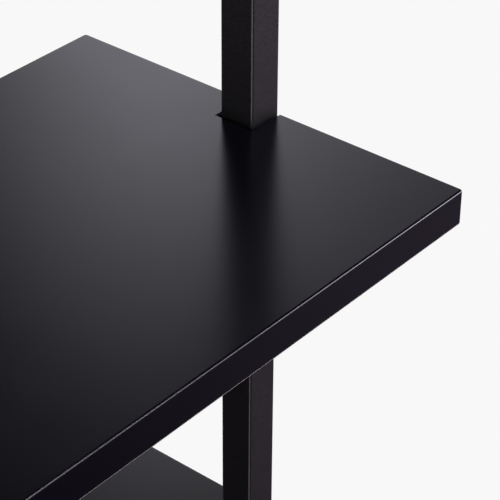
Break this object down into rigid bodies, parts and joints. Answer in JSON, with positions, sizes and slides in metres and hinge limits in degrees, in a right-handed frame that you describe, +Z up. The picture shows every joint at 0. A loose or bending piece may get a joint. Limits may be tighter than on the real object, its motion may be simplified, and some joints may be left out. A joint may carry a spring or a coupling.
{
  "type": "lift top coffee table",
  "caption": "Black coffee table with a lower shelf, whose top board slides up square end posts on gas springs and is released by a hand lever under its front edge.",
  "frame": {"origin": "on the floor under the middle of the table, with the top at its lowest", "axes": "+X along the length to the right, -Y to the front where the hand lever is, +Z up"},
  "size_m": [1.01, 0.382, 0.722],
  "materials": {
    "black_lacquer": "satin black lacquer on board",
    "black_steel": "fine textured black powder coat",
    "black_plastic": "moulded, matt",
    "zinc": "zinc plated",
    "grey_steel": "phosphated",
    "rubber": "matt",
    "nylon": "natural nylon",
    "spring_cylinder": "gloss black paint",
    "rod_chrome": "hard chrome",
    "cable_sheath": "extruded, satin"
  },
  "bodies": {
    "base": {"post_left": "black_steel", "post_right": "black_steel", "post_cap_left": "black_plastic", "post_cap_right": "black_plastic", "foot_bar_left": "black_steel", "foot_bar_right": "black_steel", "foot_bar_caps": "black_plastic", "base_beam": "black_steel", "lower_shelf": "black_lacquer", "shelf_screws": "zinc", "cylinder_seat_left": "grey_steel", "cylinder_seat_right": "grey_steel", "seat_bolts": "zinc", "gas_cylinder_left": "spring_cylinder", "gas_cylinder_right": "spring_cylinder", "stop_collar_left": "black_steel", "stop_collar_right": "black_steel", "collar_screws": "zinc", "bumper_left": "rubber", "bumper_right": "rubber", "foot_nuts": "zinc"},
    "lift_top": {"top_board": "black_lacquer", "top_arm_left": "black_steel", "top_arm_right": "black_steel", "rail_front": "black_steel", "rail_back": "black_steel", "board_screws": "zinc", "carriage_left": "black_steel", "carriage_right": "black_steel", "liner_upper_left": "nylon", "liner_upper_right": "nylon", "liner_lower_left": "nylon", "liner_lower_right": "nylon", "gas_rod_left": "rod_chrome", "gas_rod_right": "rod_chrome", "spring_head_left": "grey_steel", "spring_head_right": "grey_steel", "head_bolts": "zinc", "crank_pins": "zinc", "lever_bracket": "grey_steel", "bracket_screws": "zinc", "lever_spring": "zinc", "cable_left": "cable_sheath", "cable_right": "cable_sheath", "cable_ends": "zinc", "cable_clips": "black_plastic"},
    "hand_lever": {"lever_shaft": "zinc", "lever_crank": "grey_steel", "lever_handle": "black_steel"},
    "crank_left": {"release_crank_left": "grey_steel"},
    "crank_right": {"release_crank_right": "grey_steel"},
    "foot_front_left": {"foot_stud_front_left": "zinc", "foot_pad_front_left": "rubber"},
    "foot_front_right": {"foot_stud_front_right": "zinc", "foot_pad_front_right": "rubber"},
    "foot_back_left": {"foot_stud_back_left": "zinc", "foot_pad_back_left": "rubber"},
    "foot_back_right": {"foot_stud_back_right": "zinc", "foot_pad_back_right": "rubber"}
  },
  "joints": [
    {"name": "lift", "type": "slide", "parent": "base", "child": "lift_top", "axis": [0, 0, 1], "range_m": [0, 0.24]},
    {"name": "lever_squeeze", "type": "hinge", "parent": "lift_top", "child": "hand_lever", "pos_m": [0, -0.147, 0.433], "axis": [0, 1, 0], "range_deg": [0, 12], "stiffness_Nm_per_rad": 0.6, "springref_deg": -20.05},
    {"name": "crank_left_turn", "type": "hinge", "parent": "lift_top", "child": "crank_left", "pos_m": [-0.484, 0.007, 0.389], "axis": [1, 0, 0], "range_deg": [0, 10]},
    {"name": "crank_right_turn", "type": "hinge", "parent": "lift_top", "child": "crank_right", "pos_m": [0.484, 0.007, 0.389], "axis": [1, 0, 0], "range_deg": [0, 10]},
    {"name": "foot_front_left_turn", "type": "hinge", "parent": "base", "child": "foot_front_left", "pos_m": [-0.484, -0.163, 0], "axis": [0, 0, 1], "continuous": true},
    {"name": "foot_front_right_turn", "type": "hinge", "parent": "base", "child": "foot_front_right", "pos_m": [0.484, -0.163, 0], "axis": [0, 0, 1], "continuous": true},
    {"name": "foot_back_left_turn", "type": "hinge", "parent": "base", "child": "foot_back_left", "pos_m": [-0.484, 0.163, 0], "axis": [0, 0, 1], "continuous": true},
    {"name": "foot_back_right_turn", "type": "hinge", "parent": "base", "child": "foot_back_right", "pos_m": [0.484, 0.163, 0], "axis": [0, 0, 1], "continuous": true}
  ],
  "couplings": [
    {"joint": "crank_left_turn", "follows": "lever_squeeze", "ratio": 0.83},
    {"joint": "crank_right_turn", "follows": "lever_squeeze", "ratio": 0.83}
  ]
}
